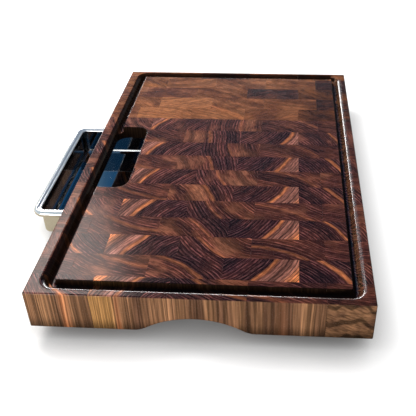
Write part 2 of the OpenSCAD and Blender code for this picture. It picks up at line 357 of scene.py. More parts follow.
class SteelFinish(bpy.types.PropertyGroup):
    """Section and polish of the pressed pan."""

    tint: FloatVectorProperty(
        name="Steel",
        description="Colour of the polished steel",
        subtype="COLOR",
        default=(0.80, 0.81, 0.82),
    )
    roughness: FloatProperty(
        name="Roughness",
        description="Roughness of the polished steel",
        subtype="FACTOR",
        min=0.0,
        max=1.0,
        default=0.055,
    )
    rim_satin: FloatProperty(
        name="Satin rim",
        description="How much rougher the rim is than the inside of the pan",
        subtype="FACTOR",
        min=0.0,
        max=1.0,
        default=0.1,
    )
    # Painted shade: how far the inside of the pan is darkened beside its rim
    inside_shade: FloatProperty(
        name="Inside shade",
        description="How bright the scoured inside of the pan is beside its polished rim",
        subtype="FACTOR",
        min=0.0,
        max=1.0,
        default=0.4,
    )
    sheet: FloatProperty(
        name="Sheet",
        description="Thickness of the pressed sheet",
        unit="LENGTH",
        default=0.8 * MM,
    )
    rim_w: FloatProperty(
        name="Rim width",
        description="From the pan's body to the outside of its bead",
        unit="LENGTH",
        default=7 * MM,
    )
    bead_r: FloatProperty(
        name="Bead radius",
        description="Radius of the rolled bead",
        unit="LENGTH",
        default=3.25 * MM,
    )
    rim_step: FloatProperty(
        name="Rim step",
        description="Drop from the top of the bead to the flat of the rim",
        unit="LENGTH",
        default=1.1 * MM,
    )
    corner_r: FloatProperty(
        name="Corner radius",
        description="Corner radius over the rim",
        unit="LENGTH",
        default=12.5 * MM,
    )
    bend_r: FloatProperty(
        name="Bottom bend",
        description="Bend radius between the walls and the bottom",
        unit="LENGTH",
        default=4 * MM,
    )


class HardwareFinish(bpy.types.PropertyGroup):
    """Feet and screws under the board."""

    rubber: FloatVectorProperty(
        name="Rubber",
        description="Colour of the moulded feet",
        subtype="COLOR",
        default=(0.018, 0.018, 0.020),
    )
    zinc: FloatVectorProperty(
        name="Zinc",
        description="Colour of the screws and washers",
        subtype="COLOR",
        default=(0.62, 0.63, 0.64),
    )
    turn_seed: IntProperty(
        name="Screw turn seed",
        description="Seed for how far round each screw was driven",
        default=7,
    )


class StudioSettings(bpy.types.PropertyGroup):
    """Camera, floor and lamps round the board."""

    camera_at: FloatVectorProperty(
        name="Camera",
        description="Where the camera stands",
        subtype="TRANSLATION",
        unit="LENGTH",
        default=(65.2 * MM, -586.2 * MM, 349.0 * MM),
    )
    camera_target: FloatVectorProperty(
        name="Camera target",
        description="Point of the work surface on the camera's axis",
        subtype="TRANSLATION",
        unit="LENGTH",
        default=(30.2 * MM, -100.4 * MM, 0.0),
    )
    camera_roll: FloatProperty(
        name="Camera roll",
        description="Turn of the camera about its own axis",
        subtype="ANGLE",
        default=math.radians(-0.81),
    )
    lens: FloatProperty(
        name="Lens",
        description="Focal length on the 36 mm sensor",
        unit="CAMERA",
        default=56.23,
    )
    shift_x: FloatProperty(name="Shift X", description="Sideways lens shift", default=-0.0887)
    shift_y: FloatProperty(name="Shift Y", description="Upward lens shift", default=0.0130)
    floor_tint: FloatVectorProperty(
        name="Floor",
        description="Colour of the floor",
        subtype="COLOR",
        default=(0.45, 0.45, 0.45),
    )
    bounce_tint: FloatVectorProperty(
        name="Floor bounce",
        description="Colour of the floor as it lights the board from below",
        subtype="COLOR",
        default=(0.34, 0.34, 0.34),
    )
    near_tint: FloatVectorProperty(
        name="Shaded floor",
        description="Colour of the floor beside the board, as it shows in what shines",
        subtype="COLOR",
        default=(0.60, 0.53, 0.38),
    )
    shade_near: FloatProperty(
        name="Shaded to",
        description="Distance from the middle of the board at which the shaded floor starts to clear",
        unit="LENGTH",
        default=0.28,
    )
    shade_far: FloatProperty(
        name="Clear from",
        description="Distance from the middle of the board at which the floor is clear",
        unit="LENGTH",
        default=0.42,
    )
    floor_lift: FloatProperty(
        name="Floor lift",
        description="White added to the floor where the camera sees it",
        subtype="FACTOR",
        default=1.0,
    )
    shade_reach: FloatProperty(
        name="Shade reach",
        description="How far from the board its soft shade on the floor reaches",
        unit="LENGTH",
        default=40 * MM,
    )
    haze_tint: FloatVectorProperty(
        name="Haze",
        description="Sky at the floor's edge, as it shows in what shines",
        subtype="COLOR",
        default=(0.62, 0.62, 0.60),
    )
    skyline_tint: FloatVectorProperty(
        name="Skyline",
        description="Bright sky just over the haze, as it shows in what shines",
        subtype="COLOR",
        default=(0.95, 0.97, 0.94),
    )
    glow_tint: FloatVectorProperty(
        name="Glow",
        description="Pale sky over the skyline, as it shows in what shines",
        subtype="COLOR",
        default=(0.86, 0.92, 0.92),
    )
    sky_tint: FloatVectorProperty(
        name="Low sky",
        description="Sky over the glow, as it shows in what shines",
        subtype="COLOR",
        default=(0.05, 0.11, 0.18),
    )
    blue_tint: FloatVectorProperty(
        name="Blue sky",
        description="Sky half way up, as it shows in what shines",
        subtype="COLOR",
        default=(0.015, 0.095, 0.225),
    )
    pale_tint: FloatVectorProperty(
        name="Left sky",
        description="Paler sky at the left, as it shows in what shines",
        subtype="COLOR",
        default=(0.26, 0.40, 0.48),
    )
    zenith_tint: FloatVectorProperty(
        name="High sky",
        description="Sky overhead, as it shows in what shines",
        subtype="COLOR",
        default=(0.16, 0.30, 0.46),
    )
    sky_power: FloatProperty(
        name="Sky power",
        description="Strength of the soft light from all round",
        default=0.32,
    )
    key_power: FloatProperty(
        name="Key power",
        description="Power of the large lamp high behind the board",
        unit="POWER",
        default=7.0,
    )
    sheen_power: FloatProperty(
        name="Sheen power",
        description="Power of the lamp that shines back off the front left of the work surface",
        unit="POWER",
        default=0.22,
    )
    fill_power: FloatProperty(
        name="Fill power",
        description="Power of the large lamp in front on the left",
        unit="POWER",
        default=9.0,
    )
    rim_power: FloatProperty(
        name="Rim power",
        description="Power of the low strip lamp behind the board",
        unit="POWER",
        default=18.0,
    )


class NodeSheet:
    """Shader nodes of a material or a sky, added and joined a step at a time."""

    def __init__(self, owner):
        self.owner = owner
        owner.use_nodes = True
        self.tree = owner.node_tree
        self.tree.nodes.clear()

    def feed(self, socket, value):
        """Links a socket, or sets a plain value on it."""
        if isinstance(value, bpy.types.NodeSocket):
            self.tree.links.new(value, socket)
        else:
            socket.default_value = value

    def add(self, kind, inputs=None, **settings):
        node = self.tree.nodes.new(kind)
        for key, value in settings.items():
            setattr(node, key, value)
        for key, value in (inputs or {}).items():
            self.feed(node.inputs[key], value)
        return node

    def place(self):
        return self.add("ShaderNodeTexCoord").outputs["Object"]

    def attribute(self, name, output="Vector"):
        return self.add("ShaderNodeAttribute", attribute_name=name).outputs[output]

    def parts(self, vector):
        return self.add("ShaderNodeSeparateXYZ", {0: vector}).outputs

    def math(self, operation, a, b=0.0):
        return self.add("ShaderNodeMath", {0: a, 1: b}, operation=operation).outputs[0]

    def times(self, first, *others):
        """Product of several numbers."""
        product = first
        for other in others:
            product = self.math("MULTIPLY", product, other)
        return product

    def vector(self, operation, a, b):
        return self.add("ShaderNodeVectorMath", {0: a, 1: b}, operation=operation).outputs[0]

    def stretch(self, vector, by):
        return self.vector("MULTIPLY", vector, by)

    def noise(self, vector, scale, detail=2.0, output="Fac"):
        inputs = {"Vector": vector, "Scale": scale, "Detail": detail}
        return self.add("ShaderNodeTexNoise", inputs).outputs[output]

    def noise_along(self, value, scale, detail):
        """Noise along one number."""
        inputs = {"W": value, "Scale": scale, "Detail": detail}
        return self.add("ShaderNodeTexNoise", inputs, noise_dimensions="1D").outputs["Fac"]

    def sway(self, vector, scale, reach, detail=1.5):
        """Random push of a point, up to about the given reach either way."""
        drawn = self.noise(vector, scale, detail, "Color")
        centred = self.vector("SUBTRACT", drawn, (0.5, 0.5, 0.5))
        return self.stretch(centred, (2 * reach, 2 * reach, 2 * reach))

    def ease(self, value, low, high, to_low=0.0, to_high=1.0):
        """Smooth step of a value between two levels."""
        inputs = {"Value": value, "From Min": low, "From Max": high, "To Min": to_low, "To Max": to_high}
        node = self.add("ShaderNodeMapRange", inputs, interpolation_type="SMOOTHSTEP")
        return node.outputs[0]

    def blend(self, factor, a, b, kind="MIX"):
        node = self.add("ShaderNodeMix", {0: factor}, data_type="RGBA", blend_type=kind)
        self.feed(node.inputs[6], a)
        self.feed(node.inputs[7], b)
        return node.outputs[2]

    def between(self, factor, a, b):
        return self.add("ShaderNodeMix", {0: factor, 2: a, 3: b}).outputs[0]

    def bands(self, value, stops):
        """Colour ramp through the given places and colours."""
        node = self.add("ShaderNodeValToRGB", {0: value})
        elements = node.color_ramp.elements
        for place, _ in stops[1:-1]:
            elements.new(place)
        for element, (place, colour) in zip(elements, stops):
            element.position = place
            element.color = opaque(colour)
        return node.outputs[0]

    def toned(self, colour, tone):
        """A colour made darker or lighter by a number."""
        node = self.add("ShaderNodeVectorMath", {0: colour}, operation="SCALE")
        self.feed(node.inputs["Scale"], tone)
        return node.outputs[0]

    def bump(self, height, strength, distance):
        inputs = {"Height": height, "Strength": strength, "Distance": distance}
        return self.add("ShaderNodeBump", inputs).outputs[0]

    def surface(self, **sockets):
        """Principled surface with the given sockets, named with _ for spaces."""
        named = {key.replace("_", " "): value for key, value in sockets.items()}
        shader = self.add("ShaderNodeBsdfPrincipled", named)
        self.finish(shader.outputs[0])
        return self.owner

    def finish(self, shader, output="ShaderNodeOutputMaterial"):
        self.add(output, {"Surface": shader})


def material_sheet(name):
    return NodeSheet(bpy.data.materials.new(name))


def opaque(colour):
    return (*colour, 1.0)


class WalnutSheet(NodeSheet):
    """Shader nodes of the oiled walnut, which read each block's growth from its mesh."""

    def __init__(self, finish):
        super().__init__(bpy.data.materials.new("oiled_walnut"))
        self.walnut = finish
        self.at = self.place()
        self.height = self.parts(self.at)[2]
        self.grain = self.stretch(self.at, (1.0, 1.0, FIGURE_ALONG))
        self.pitch, self.streak_r, self.seed = self.parts(self.attribute("growth"))
        self.depth, self.warmth, self.contrast = self.parts(self.attribute("shade"))
        self.streak_amount, self.sap_amount, self.figure = self.parts(self.attribute("sap"))
        self.grow_rings()
        self.grow_streak()
        self.cloud_block()

    def grow_rings(self):
        """Rings round the block's heart, which wander slowly along the grain and quickly across it."""
        moved = self.vector("SUBTRACT", self.at, self.attribute("heart"))
        moved = self.vector("ADD", moved, self.sway(self.grain, *SLOW_WAVER))
        moved = self.vector("ADD", moved, self.sway(self.grain, *QUICK_WAVER))
        lean = self.times(self.height, self.times(self.figure, CURL_LEAN))
        moved = self.vector("ADD", moved, self.add("ShaderNodeCombineXYZ", {1: lean}).outputs[0])
        flat = self.stretch(moved, (1.0, 1.0, 0.0))
        self.radius = self.add("ShaderNodeVectorMath", {0: flat}, operation="LENGTH").outputs["Value"]

        # Each year's ring has its own width and strength
        rings = self.math("DIVIDE", self.radius, self.pitch)
        self.years = self.math("ADD", rings, self.times(self.seed, SEED_YEARS))
        self.season = self.noise_along(self.years, 0.7, 2.0)
        phase = self.math("ADD", self.years, self.times(self.season, 0.9))
        self.wave = self.math("SINE", self.times(phase, 2 * math.pi))
        self.patch = self.ease(self.noise(self.grain, 70.0, 3.0), 0.34, 0.66, 0.25, 1.0)

        # Its line breaks into streaks along the ring, over finer fibres
        across = self.parts(flat)
        around = self.times(self.math("ARCTAN2", across[1], across[0]), self.radius)
        drawn_out = {0: self.radius, 1: self.times(around, 0.16), 2: self.seed}
        along = self.add("ShaderNodeCombineXYZ", drawn_out).outputs[0]
        self.streaky = self.noise(along, 900.0, 3.0)
        strength = self.ease(self.season, 0.3, 0.6, 0.35, 1.0)
        broken = self.ease(self.streaky, 0.34, 0.6, 0.25, 1.0)
        line = self.times(self.ease(self.wave, 0.3, 1.0), strength, self.patch, broken)
        fibre = self.ease(self.noise_along(self.years, 3.7, 2.0), 0.36, 0.66)
        self.line = self.math("ADD", line, self.times(fibre, 0.22))
        self.line.node.use_clamp = True

    def grow_streak(self):
        """Bright ring at the end of the heartwood, with sapwood outside it or a soft core inside."""
        stray = self.times(self.math("SUBTRACT", self.season, 0.5), STREAK_STRAY)
        self.from_streak = self.math("SUBTRACT", self.math("ADD", self.radius, stray), self.streak_r)
        off = self.math("DIVIDE", self.from_streak, STREAK_HALF)
        bell = self.math("EXPONENT", self.times(off, off, -1.0))
        broken = self.ease(self.patch, 0.25, 1.0, 0.65, 1.0)
        self.streak = self.times(bell, broken, self.streak_amount)
        core = self.math("MAXIMUM", self.times(self.sap_amount, -1.0), 0.0)
        self.core = self.times(self.ease(self.from_streak, *CORE_FADE, 1.0, 0.0), core)
        self.sap_amount = self.math("MAXIMUM", self.sap_amount, 0.0)
        self.outside = self.times(self.ease(self.from_streak, *SAP_FADE), self.sap_amount)

    def cloud_block(self):
        """Clouds of tone inside the block, and its soft core."""
        self.cloud = self.noise(self.grain, 34.0, 2.0)
        depth = self.math("ADD", self.depth, self.ease(self.cloud, 0.3, 0.7, -0.18, 0.18))
        self.depth = self.math("SUBTRACT", depth, self.times(self.core, CORE_PALER))
        self.warmth = self.math("ADD", self.warmth, self.times(self.core, CORE_WARMER))
        self.contrast = self.times(self.contrast, self.ease(self.core, 0.0, 1.0, 1.0, CORE_CALM))

    def end_grain(self):
        """Colour of the work surface."""
        walnut = self.walnut
        stops = ((0.0, walnut.heart_pale), (0.5, walnut.heart_mid), (1.0, walnut.heart_dark))
        end = self.bands(self.depth, stops)
        warm = self.toned(tuple(walnut.heart_warm), self.ease(self.depth, 0.0, 1.0, 1.4, 0.25))
        end = self.blend(self.times(self.warmth, 0.55), end, warm)
        end = self.blend(self.outside, end, opaque(walnut.sap_tan))
        far_out = self.times(self.ease(self.from_streak, *FAR_SAP_FADE), self.sap_amount)
        end = self.blend(far_out, end, opaque(walnut.streak))

        # Pale lines on dark wood, and dark lines on pale wood and sapwood
        lined = self.times(self.line, self.contrast)
        pale_wood = self.ease(self.depth, *LINE_TURN, 1.0, 0.0)
        low = self.math("SUBTRACT", 1.0, self.times(self.contrast, walnut.ring_dark))
        reach = self.times(self.contrast, walnut.ring_dark + walnut.ring_light)
        tone = self.math("ADD", low, self.times(reach, self.line))
        tone = self.between(pale_wood, tone, self.math("SUBTRACT", 1.15, self.times(lined, 0.75)))
        tone = self.between(self.outside, tone, self.ease(self.wave, 0.2, 0.95, 1.2, 0.38))

        # Good and lean spells of years
        spell = self.ease(self.noise_along(self.years, 0.23, 1.0), 0.36, 0.64, 0.5, 1.45)
        spell_share = self.ease(self.contrast, 0.3, 0.8, 0.55, 1.0)
        end = self.toned(end, self.times(tone, self.between(spell_share, 1.0, spell)))

        in_heart = self.ease(self.outside, 0.0, 0.5, 0.4, 0.0)
        pale_line = self.times(lined, in_heart, self.math("SUBTRACT", 1.0, pale_wood))
        end = self.blend(pale_line, end, opaque(walnut.ring_pale))
        return self.blend(self.streak, end, opaque(walnut.streak))

    def long_grain(self):
        """Colour of the upright faces."""
        walnut = self.walnut
        fibres = self.stretch(self.at, (1.0, 1.0, FIBRE_ALONG))
        thread = self.ease(self.noise(fibres, 520.0, 3.0), 0.34, 0.68)
        band = self.ease(self.noise(fibres, 95.0, 2.0), 0.28, 0.74)
        band = self.between(self.figure, band, self.ease(self.noise(self.at, 60.0, 2.0), 0.35, 0.65))
        side = self.blend(band, opaque(walnut.side_brown), opaque(walnut.side_pale))
        side = self.blend(self.times(self.outside, 0.8), side, opaque(walnut.side_gold))
        bright = self.math("ADD", self.times(self.line, 0.6), self.times(thread, 0.4))
        bright = self.between(self.figure, bright, 0.32)
        side = self.toned(side, self.ease(bright, 0.0, 0.9, 0.5, 1.35))

        # Curly blocks have dark contour lines
        level = self.math("DIVIDE", self.height, CONTOUR_PITCH)
        contour = self.math("ADD", level, self.times(self.cloud, 3.0))
        contour = self.math("SINE", self.times(contour, 2 * math.pi))
        curl = self.ease(contour, 0.3, 0.95, 1.05, 0.35)
        side = self.toned(side, self.between(self.figure, 1.0, curl))
        # Painted shade: the upright faces darken toward the board's bottom
        side = self.toned(side, self.ease(self.height, BOARD_BOTTOM, BOARD_BOTTOM + PAINTED_SHADE_HEIGHT, 0.3, 1.0))
        return self.blend(self.times(self.streak, 0.5), side, opaque(walnut.streak))


def walnut_material(finish):
    """End-grain walnut on faces that look up, brown long grain on upright ones."""
    sheet = WalnutSheet(finish)
    routed = sheet.attribute("routed", "Fac")
    normal = sheet.add("ShaderNodeNewGeometry").outputs["True Normal"]
    upward = sheet.math("ABSOLUTE", sheet.parts(normal)[2])
    colour = sheet.blend(sheet.ease(upward, 0.35, 0.75), sheet.long_grain(), sheet.end_grain())
    colour = sheet.toned(colour, sheet.ease(sheet.streaky, 0.3, 0.7, 0.55, 1.45))
    # Painted shade: the groove and window walls darken toward black, those facing the light only slightly
    colour = sheet.blend(sheet.times(routed, finish.painted_groove_shade), colour, PAINTED_SHADE_BLACK)

    pores = sheet.noise(sheet.at, 900.0, 2.0)
    relief = sheet.math("ADD", sheet.times(sheet.line, 0.5), sheet.times(pores, 0.5))
    smooth, rough = finish.roughness - 0.07, finish.roughness + 0.10
    # Walls with painted shade lose most specular; shoulders and the flank facing the light get full specular
    on_shoulder = sheet.ease(routed, 0.0, 0.1, finish.gloss, 1.0)
    on_painted_shade = sheet.ease(routed, 0.1, 1.0, 1.0, 0.04)
    return sheet.surface(
        Base_Color=colour,
        Roughness=sheet.ease(pores, 0.3, 0.7, smooth, rough),
        IOR=OIL_IOR,
        Specular_IOR_Level=sheet.times(on_shoulder, on_painted_shade),
        Normal=sheet.bump(relief, 0.3, 0.06 * MM),
    )


def runner_material(finish):
    """Long-grain walnut with its lines along X."""
    sheet = material_sheet("runner_walnut")
    place = sheet.place()
    grain = sheet.stretch(place, (0.12, 1.0, 1.0))
    bent = sheet.vector("ADD", sheet.stretch(place, (0.0, 1.0, 1.0)), sheet.sway(grain, *RUNNER_WAVER))
    _, sideways, upwards = sheet.parts(bent)
    across = sheet.math("ADD", sideways, sheet.times(upwards, 0.6))
    wave = sheet.math("SINE", sheet.times(across, 2 * math.pi / RUNNER_LINE))
    line = sheet.ease(wave, -0.4, 1.0)
    colour = sheet.blend(sheet.noise(grain, 40.0), opaque(finish.side_brown), opaque(finish.side_pale))
    colour = sheet.toned(colour, sheet.ease(line, 0.0, 1.0, 1.15, 0.5))
    pores = sheet.noise(sheet.stretch(place, (0.1, 1.0, 1.0)), 1100.0, 2.0)
    return sheet.surface(
        Base_Color=colour,
        Roughness=sheet.ease(pores, 0.3, 0.7, 0.42, 0.58),
        IOR=OIL_IOR,
        Normal=sheet.bump(pores, 0.2, 0.2 * MM),
    )


def pan_material(finish):
    """Polished pressed steel, with faint waves and wiped streaks."""
    sheet = material_sheet("polished_pan_steel")
    place = sheet.place()
    wiped = sheet.noise(sheet.stretch(place, (1.0, 0.12, 1.0)), 240.0, 3.0)
    smudge = sheet.noise(place, 34.0, 2.0)
    rough = sheet.times(sheet.ease(wiped, 0.3, 0.7, 0.7, 1.3), finish.roughness)
    rough = sheet.math("ADD", rough, sheet.ease(smudge, 0.45, 0.8, 0.0, 0.02))
    # Painted shade: the inside of the pan is tinted darker than its rim
    painted_shade_tint = tuple(part * finish.inside_shade for part in finish.tint)
    inside = sheet.attribute("inside", "Fac")
    colour = sheet.blend(inside, opaque(finish.tint), opaque(painted_shade_tint))
    rough = sheet.math("ADD", rough, sheet.ease(inside, 0.0, 0.5, finish.rim_satin, 0.0))
    return sheet.surface(
        Base_Color=sheet.toned(colour, sheet.ease(wiped, 0.3, 0.7, 0.97, 1.03)),
        Metallic=sheet.ease(inside, 0.0, 0.5, 0.7, 1.0),
        Roughness=rough,
        Normal=sheet.bump(sheet.noise(place, 22.0, 1.0), 0.03, 0.4 * MM),
    )


def zinc_material(finish):
    """Bright zinc plate on the screws and washers."""
    sheet = material_sheet("zinc_plate")
    grain = sheet.noise(sheet.place(), 700.0, 2.0)
    dull = tuple(part * 0.8 for part in finish.zinc)
    return sheet.surface(
        Base_Color=sheet.blend(grain, opaque(dull), opaque(finish.zinc)),
        Metallic=1.0,
        Roughness=sheet.ease(grain, 0.3, 0.7, 0.24, 0.42),
        Normal=sheet.bump(grain, 0.1, 0.05 * MM),
    )


def rubber_material(finish):
    """Matt black moulded rubber with a fine pebble."""
    sheet = material_sheet("foot_rubber")
    place = sheet.place()
    pebble = sheet.noise(place, 1300.0, 2.0)
    dust = sheet.ease(sheet.noise(place, 120.0, 3.0), 0.4, 0.75)
    dusty = tuple(part * 2.2 for part in finish.rubber)
    return sheet.surface(
        Base_Color=sheet.blend(dust, opaque(finish.rubber), opaque(dusty)),
        Roughness=sheet.ease(pebble, 0.3, 0.7, 0.62, 0.82),
        Normal=sheet.bump(pebble, 0.25, 0.12 * MM),
    )


def node_bmesh(node):
    """A CAD node's mesh as a bmesh, with its loose triangles joined and its flats whole."""
    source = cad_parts[node].data
    work = bmesh.new()
    corners = [work.verts.new(vertex.co) for vertex in source.vertices]
    for polygon in source.polygons:
        work.faces.new([corners[i] for i in polygon.vertices])
    bmesh.ops.remove_doubles(work, verts=work.verts, dist=MERGE_GAP)
    bmesh.ops.dissolve_limit(work, angle_limit=FLAT_ANGLE, verts=work.verts, edges=work.edges)
    work.normal_update()
    return work


def islands(work):
    """The separate solids of a bmesh, each a list of its vertices."""
    left = set(work.verts)
    found = []
    while left:
        queue = [left.pop()]
        solid = []
        while queue:
            vertex = queue.pop()
            solid.append(vertex)
            for edge in vertex.link_edges:
                other = edge.other_vert(vertex)
                if other in left:
                    left.remove(other)
                    queue.append(other)
        found.append(solid)
    return found


def span(vertices, axis):
    places = [vertex.co[axis] for vertex in vertices]
    return min(places), max(places)


def sharp_edges(work):
    return [e for e in work.edges if len(e.link_faces) == 2 and e.calc_face_angle() > CREASE_ANGLE]


def ease_edges(work, edges, radius):
    """Rounds the given edges, in four flats."""
    bmesh.ops.bevel(
        work, geom=edges, offset=radius, segments=4, profile=0.5, affect="EDGES", clamp_overlap=False
    )
    bmesh.ops.remove_doubles(work, verts=work.verts, dist=MERGE_GAP)
    work.normal_update()


def square_on(face):
    """True for a face that looks straight along one axis."""
    return max(abs(part) for part in face.normal) > 0.9999


def crease(work):
    """Shades a bmesh smooth, but for its sharp edges and where a flat meets its rounding."""
    for face in work.faces:
        face.smooth = True
    for edge in work.edges:
        sides = edge.link_faces
        flats = [square_on(face) for face in sides]
        edge.smooth = len(sides) == 2 and edge.calc_face_angle() < CREASE_ANGLE and flats[0] == flats[1]


def shown(name, work, material, body, nodes):
    """Makes a finished bmesh into a piece that rides on a body and stands for CAD nodes."""
    mesh = bpy.data.meshes.new(name)
    crease(work)
    work.to_mesh(mesh)
    work.free()
    return shown_mesh(name, mesh, material, body, nodes)


def shown_mesh(name, mesh, material, body, nodes):
    mesh.materials.clear()
    mesh.materials.append(material)
    piece = bpy.data.objects.new(name, mesh)
    bpy.context.scene.collection.objects.link(piece)
    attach(piece, body)
    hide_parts(*nodes)
    return piece


def strip_seams(node):
    """Middle of each glue line across a whole strip."""
    work = node_bmesh(node)
    blocks = sorted(span(solid, 0) for solid in islands(work))
    work.free()
    return [(a[1] + b[0]) / 2 for a, b in zip(blocks, blocks[1:])]


def on_seam(face, seams, strip_low, strip_high):
    """True for a glued face: at a seam of the strip, or against the next strip."""
    middle = face.calc_center_median()
    if abs(face.normal.x) > 0.99:
        return any(abs(middle.x - seam) < SEAM_REACH for seam in seams)
    if abs(face.normal.y) > 0.99:
        inner_low = strip_low > BOARD_FRONT + ON_PLANE and abs(middle.y - strip_low) < ON_PLANE
        inner_high = strip_high < BOARD_BACK - ON_PLANE and abs(middle.y - strip_high) < ON_PLANE
        return inner_low or inner_high
    return False


def eased_by_hand(edge, seams, strip_low, strip_high):
    """True for an arris that a maker would sand: on the work surface or the board's outline."""
    if any(on_seam(face, seams, strip_low, strip_high) for face in edge.link_faces):
        return False
    return on_outline(edge) or edge_middle(edge).z > BOARD_TOP - ON_PLANE


def edge_middle(edge):
    return (edge.verts[0].co + edge.verts[1].co) / 2


def on_outline(edge):
    """True for an edge on one of the board's four upright faces."""
    middle = edge_middle(edge)
    return (
        middle.x < BOARD_LEFT + ON_PLANE
        or middle.x > BOARD_RIGHT - ON_PLANE
        or middle.y < BOARD_FRONT + ON_PLANE
        or middle.y > BOARD_BACK - ON_PLANE
    )


def on_plateau(edge):
    """True for an edge of the work surface inside the groove, false for the rail outside it."""
    middle = edge_middle(edge)
    beside = min(middle.x - BOARD_LEFT, BOARD_RIGHT - middle.x)
    before = min(middle.y - BOARD_FRONT, BOARD_BACK - middle.y)
    return min(beside, before) > RAIL_REACH


def block_growth(strip, block, seams, draw):
    """Heart, growth, shade and sap of one block, from the plank that it was cut from."""
    low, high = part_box(STRIPS[strip])
    half_block = (seams[1] - seams[0]) / 2
    middle_x = seams[block] - half_block if block < len(seams) else seams[-1] + half_block
    middle_y = (low.y + high.y) / 2
    if strip == 0:
        middle_y = high.y - STRIP_PITCH / 2
    if strip == len(STRIPS) - 1:
        middle_y = low.y + STRIP_PITCH / 2
    turned = strip % 2 == 0
    planks = FRONT_PLANKS if strip < BACK_PANEL_FIRST else BACK_PLANKS
    slice_n = strip if strip < BACK_PANEL_FIRST else strip - BACK_PANEL_FIRST
    plank = planks[len(planks) - 1 - block] if turned else planks[block]
    hand = -1 if turned else 1
    heart = (
        middle_x + hand * (plank.heart_u + slice_n * plank.drift_u) * MM,
        middle_y + hand * (plank.heart_v + slice_n * plank.drift_v) * MM,
        0.0,
    )
    growth = (
        plank.pitch * MM,
        (plank.streak_r + slice_n * plank.streak_drift) * MM,
        draw.uniform(0.0, 1.0),
    )
    darker = BLOCK_DEPTH.get((strip, block), 0.0)
    panel = int(strip >= BACK_PANEL_FIRST)
    # Painted light and shade: paler to the left, darker to the right and toward the front
    painted_shade_right = PAINTED_SHADE_RIGHTWARD[panel] * middle_x / BOARD_RIGHT
    painted_shade_front = PAINTED_SHADE_FRONTWARD * max(0.0, middle_y / BOARD_FRONT)
    shade = (
        plank.depth + darker + painted_shade_right + painted_shade_front + DEPTH_SPREAD[panel] * draw.uniform(-1.0, 1.0),
        plank.warmth - DARK_COOLING * darker + draw.uniform(-WARMTH_SPREAD, WARMTH_SPREAD),
        plank.contrast,
    )
    streak = plank.streak * draw.uniform(LEAST_STREAK, 1.0)
    sap = (streak, plank.sap, CURLY_BLOCKS.get((strip, block), 0.0))
    return heart, growth, shade, sap


def painted_shade_share(face, seams, strip_low, strip_high):
    """Painted shade on a groove or window wall: less on the right flank and shoulders that face the light.
    """
    middle = face.calc_center_median()
    deep = ROUTED_LOW < middle.z < ROUTED_TOP
    margin = 3 * MM
    inside_x = BOARD_LEFT + margin < middle.x < BOARD_RIGHT - margin
    inside_y = BOARD_FRONT + margin < middle.y < BOARD_BACK - margin
    if not (deep and inside_x and inside_y) or on_seam(face, seams, strip_low, strip_high):
        return 0.0
    on_shoulder = face.normal.z > SHOULDER_TILT and (face.normal.y > 0.1 or face.normal.x < -0.1)
    right_flank = middle.x > BOARD_RIGHT - RIGHT_FLANK and face.normal.x < -0.1
    return 0.1 if on_shoulder or right_flank else 1.0


class LayStrips(bpy.types.Operator):
    """Lays the walnut strips, with the rings of every block and eased arrises"""

    bl_idname = "board.lay_strips"
    bl_label = "Lay Strips"

    def execute(self, context):
        finish = context.scene.walnut_finish
        walnut = walnut_material(finish)
        draw = random.Random(BLOCK_SEED)
        seams_even, seams_odd = strip_seams(STRIPS[1]), strip_seams(STRIPS[2])
        for strip, node in enumerate(STRIPS):
            seams = seams_even if strip % 2 == 1 else seams_odd
            low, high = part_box(node)
            work = node_bmesh(node)
            edges = [e for e in sharp_edges(work) if eased_by_hand(e, seams, low.y, high.y)]
            outline = [e for e in edges if on_outline(e)]
            plateau = [e for e in edges if not on_outline(e) and on_plateau(e)]
            shoulder = [e for e in edges if not on_outline(e) and not on_plateau(e)]
            ease_edges(work, plateau, finish.plateau_ease)
            ease_edges(work, [e for e in shoulder if e.is_valid], finish.shoulder_ease)
            ease_edges(work, [e for e in outline if e.is_valid], finish.edge_ease)
            self.paint_growth(work, strip, seams, draw)
            # Painted shade: each face's share of the darkening toward black
            routed = work.faces.layers.float.new("routed")
            for face in work.faces:
                face[routed] = painted_shade_share(face, seams, low.y, high.y)
            shown(f"walnut_{node}", work, walnut, "board", [node])
        return {"FINISHED"}

    def paint_growth(self, work, strip, seams, draw):
        """Writes each block's growth on its vertices."""
        layers = [work.verts.layers.float_vector.new(name) for name in GROWTH_LAYERS]
        grown = [block_growth(strip, block, seams, draw) for block in range(len(seams) + 1)]
        for solid in islands(work):
            low, high = span(solid, 0)
            block = sum((low + high) / 2 > seam for seam in seams)
            for vertex in solid:
                for layer, value in zip(layers, grown[block]):
                    vertex[layer] = value


class FitRunners(bpy.types.Operator):
    """Fits the two walnut runners that carry the pan's rim"""

    bl_idname = "board.fit_runners"
    bl_label = "Fit Runners"

    def execute(self, context):
        walnut = runner_material(context.scene.walnut_finish)
        for node in ("front_runner", "rear_runner"):
            work = node_bmesh(node)
            low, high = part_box(node)
            long_edges = []
            for edge in sharp_edges(work):
                ends = [vertex.co for vertex in edge.verts]
                if (ends[0] - ends[1]).length > (high.y - low.y) / 2:
                    long_edges.append(edge)
            ease_edges(work, long_edges, RUNNER_EASE)
            shown(f"walnut_{node}", work, walnut, "board", [node])
        return {"FINISHED"}


def arc(middle, radius, start, end, steps):
    """Points of a circle in the pan's section, angles in degrees from outwards to upwards."""
    points = []
    for step in range(steps + 1):
        angle = math.radians(start + (end - start) * step / steps)
        points.append((middle[0] - radius * math.cos(angle), middle[1] + radius * math.sin(angle)))
    return points


